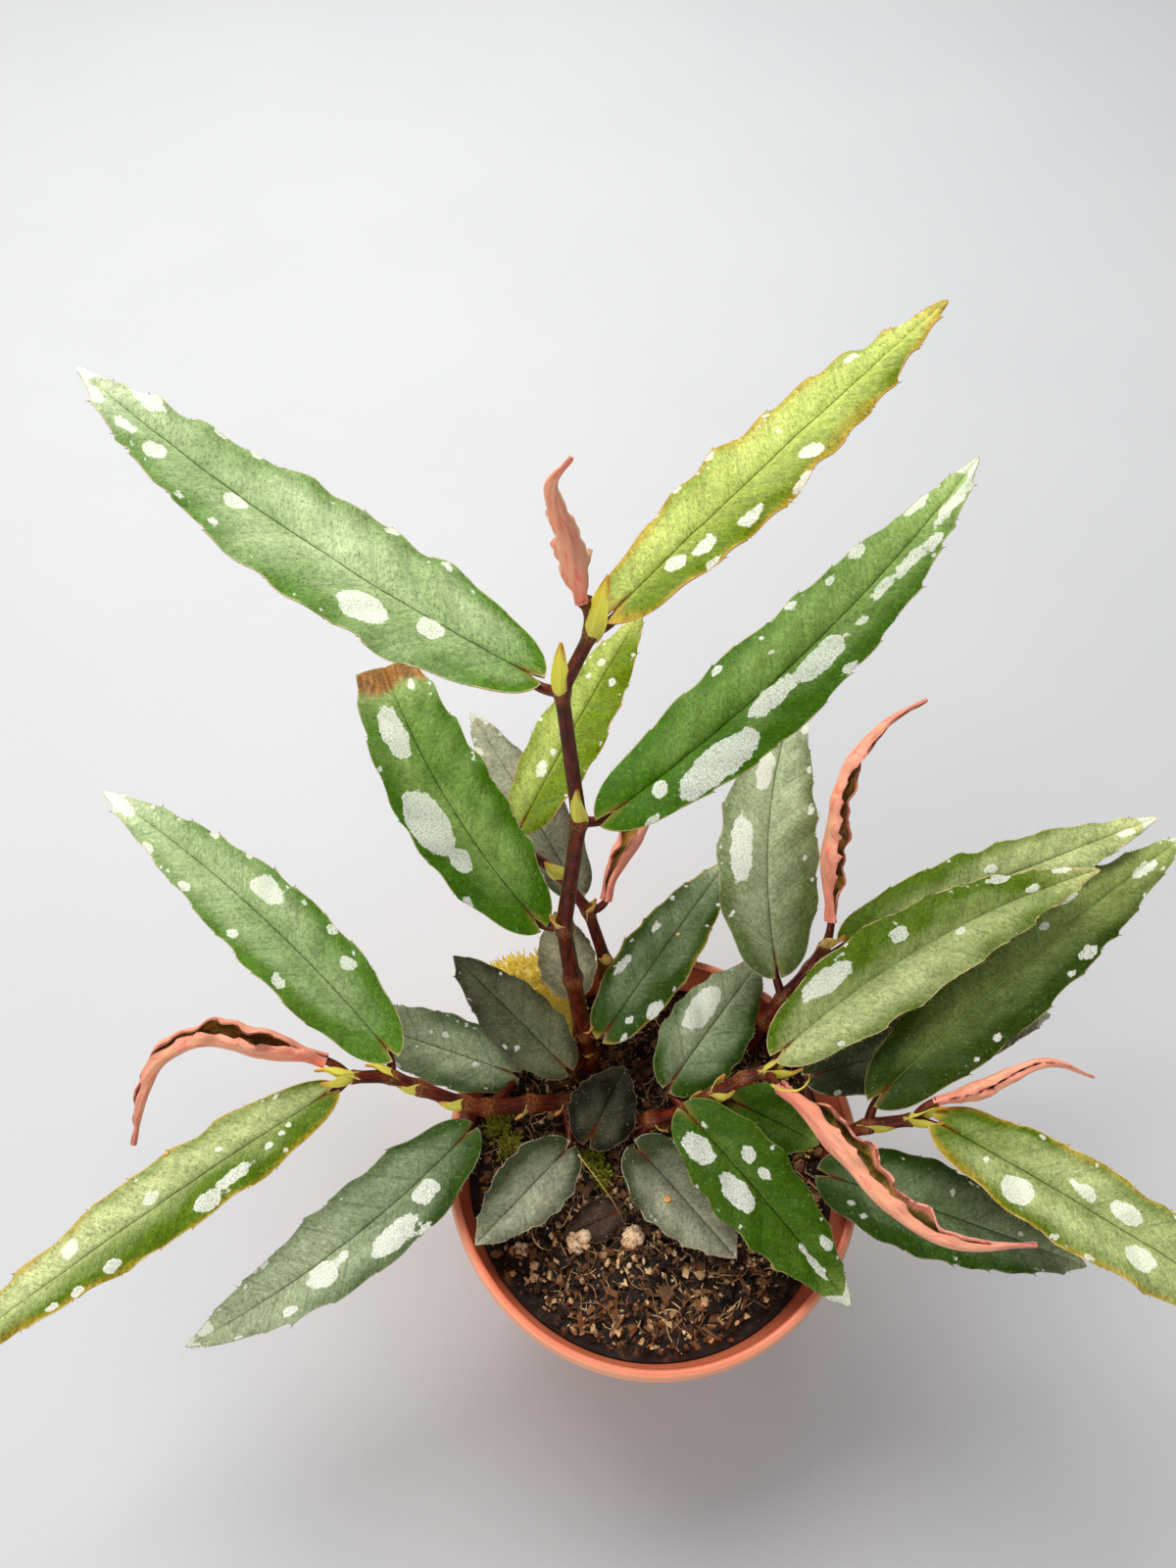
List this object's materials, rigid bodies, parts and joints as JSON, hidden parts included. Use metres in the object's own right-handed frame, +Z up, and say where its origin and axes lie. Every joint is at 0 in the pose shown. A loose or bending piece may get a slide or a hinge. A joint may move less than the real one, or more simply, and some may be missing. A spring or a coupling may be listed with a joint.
{
  "type": "potted begonia",
  "caption": "Potted cane begonia: long pointed leaves with silver spots on jointed red canes, pink rolled young leaves, soil and a small tapered plastic pot.",
  "frame": {"origin": "centre of the pot's underside, where it stands", "axes": "+Z up along the pot's axis, the front of the plant faces -Y, +X to the right seen from the front"},
  "size_m": [0.2329, 0.148, 0.2002],
  "materials": {
    "pot_plastic": "terracotta-orange moulded plastic, slightly satin, fine rings on the lip",
    "soil": "dark crumbly peat mix with fibres, bark chips, perlite and moss",
    "cane": "red-brown waxy cane with swollen joints and yellow papery stipules",
    "leaf": "green finely pebbled leaf with ragged silver spots, pale toothed margin",
    "old_leaf": "dull grey-green older leaf",
    "young_leaf": "coral pink rolled young leaf, olive inside"
  },
  "bodies": {
    "root": {"pot": "pot_plastic", "soil": "soil", "cane_back": "cane", "cane_back_right": "cane", "cane_left": "cane", "cane_middle": "cane", "cane_right": "cane", "cane_tall": "cane", "leaf_back_narrow": "leaf", "leaf_bright_front": "leaf", "leaf_centre_right": "leaf", "leaf_dark_centre": "leaf", "leaf_dark_left": "leaf", "leaf_dark_middle": "leaf", "leaf_dark_tall_foot": "leaf", "leaf_heart_small": "leaf", "leaf_left": "leaf", "leaf_low_left_inner": "leaf", "leaf_low_left_outer": "leaf", "leaf_low_right_dark": "leaf", "leaf_low_right_outer": "leaf", "leaf_right_behind": "leaf", "leaf_right_big": "leaf", "leaf_right_outer": "leaf", "leaf_tall_left_cut": "leaf", "leaf_tall_right": "leaf", "leaf_upper_left": "leaf", "leaf_upper_right": "leaf", "leaf_upright_back": "leaf", "leaf_grey_behind": "old_leaf", "leaf_grey_front_left": "old_leaf", "leaf_grey_front_middle": "old_leaf", "leaf_old_behind_foot": "old_leaf", "leaf_right_low_grey": "old_leaf", "young_leaf_back": "young_leaf", "young_leaf_back_right": "young_leaf", "young_leaf_front_right": "young_leaf", "young_leaf_left": "young_leaf", "young_leaf_right": "young_leaf", "young_leaf_top": "young_leaf"}
  },
  "joints": []
}
